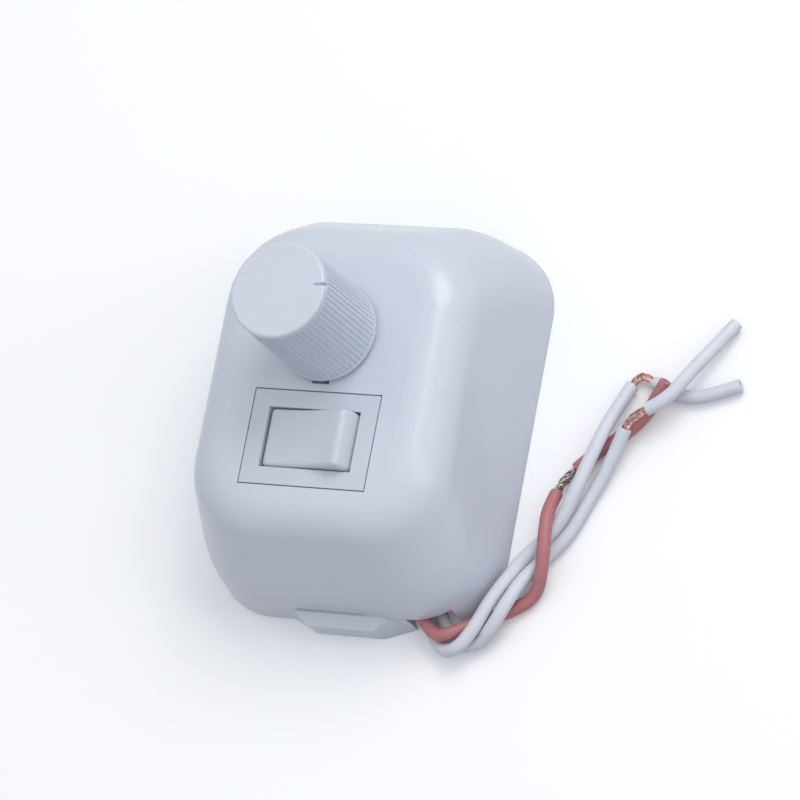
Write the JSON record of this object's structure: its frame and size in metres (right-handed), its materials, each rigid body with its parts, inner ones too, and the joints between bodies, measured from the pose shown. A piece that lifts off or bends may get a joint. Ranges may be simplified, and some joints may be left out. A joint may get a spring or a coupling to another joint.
{
  "type": "surface-mounted rotary dimmer",
  "caption": "Surface-mounted rotary dimmer: deep rounded white box with a tall ribbed knob, a small rocker switch and short flying leads.",
  "frame": {"origin": "middle of the wall face, on the plane that meets the wall", "axes": "+Z out of the front, +Y towards the knob end, +X to the right seen from the front"},
  "size_m": [0.0831, 0.0677, 0.0462],
  "materials": {
    "cover_plastic": "moulded ABS, soft gloss",
    "base_plastic": "moulded ABS",
    "knob_plastic": "moulded ABS, fine ribs",
    "switch_plastic": "moulded nylon",
    "rocker_plastic": "moulded nylon",
    "plated_steel": "zinc plated",
    "zinc_alloy": "die cast zinc",
    "shaft_aluminium": "turned",
    "moulded_phenolic": "moulded",
    "phenolic_board": "laminated paper phenolic",
    "contact_brass": "stamped",
    "tinned_wire": "tinned",
    "film_capacitor_case": "moulded box",
    "resistor_coat": "lacquered",
    "diode_glass": "lacquered glass",
    "ferrite": "sintered",
    "enamelled_copper": "enamelled wire",
    "copper_strand": "bare twisted strands",
    "red_insulation": "soft PVC",
    "white_insulation": "soft PVC"
  },
  "bodies": {
    "root": {"front_cover": "cover_plastic", "base_plate": "base_plastic", "switch_body": "switch_plastic", "board_screws": "plated_steel", "pot_washer": "plated_steel", "pot_nut": "plated_steel", "pot_case": "plated_steel", "heat_sink_screw": "plated_steel", "heat_sink_nut": "plated_steel", "pot_bushing": "zinc_alloy", "heat_sink": "shaft_aluminium", "triac": "moulded_phenolic", "pot_track": "phenolic_board", "circuit_board": "phenolic_board", "pot_terminals": "contact_brass", "switch_terminals": "contact_brass", "contact_point": "contact_brass", "triac_legs": "tinned_wire", "component_legs": "tinned_wire", "filter_capacitor": "film_capacitor_case", "timing_capacitor": "film_capacitor_case", "resistors": "resistor_coat", "diac": "diode_glass", "choke_core": "ferrite", "choke_winding": "enamelled_copper", "red_strands": "copper_strand", "white_strands_a": "copper_strand", "white_strands_b": "copper_strand", "red_lead": "red_insulation", "red_slug": "red_insulation", "red_lead_inner": "red_insulation", "white_lead_a": "white_insulation", "white_lead_b": "white_insulation", "white_slug_a": "white_insulation", "white_slug_b": "white_insulation", "white_lead_a_inner": "white_insulation", "white_lead_b_inner": "white_insulation", "switch_wire": "white_insulation"},
    "knob_and_shaft": {"knob": "knob_plastic", "knob_spring_clip": "plated_steel", "pot_shaft": "shaft_aluminium", "pot_shaft_clip": "plated_steel", "pot_rotor": "moulded_phenolic", "pot_wiper": "contact_brass"},
    "rocker_switch": {"rocker": "rocker_plastic", "rocker_plunger": "rocker_plastic", "rocker_spring": "plated_steel"},
    "bridge": {"contact_bridge": "contact_brass"}
  },
  "joints": [
    {"name": "knob_turn", "type": "hinge", "parent": "root", "child": "knob_and_shaft", "pos_m": [0, 0.0073, 0.026], "axis": [0, 0, 1], "range_deg": [-68, 232]},
    {"name": "rocker_tip", "type": "hinge", "parent": "root", "child": "rocker_switch", "pos_m": [0, -0.0097, 0.0245], "axis": [0, 1, 0], "range_deg": [0, 24]},
    {"name": "bridge_tip", "type": "hinge", "parent": "root", "child": "bridge", "pos_m": [0, -0.0097, 0.0156], "axis": [0, 1, 0], "range_deg": [-16, 0]}
  ],
  "couplings": [
    {"joint": "bridge_tip", "follows": "rocker_tip", "ratio": -0.66667}
  ]
}
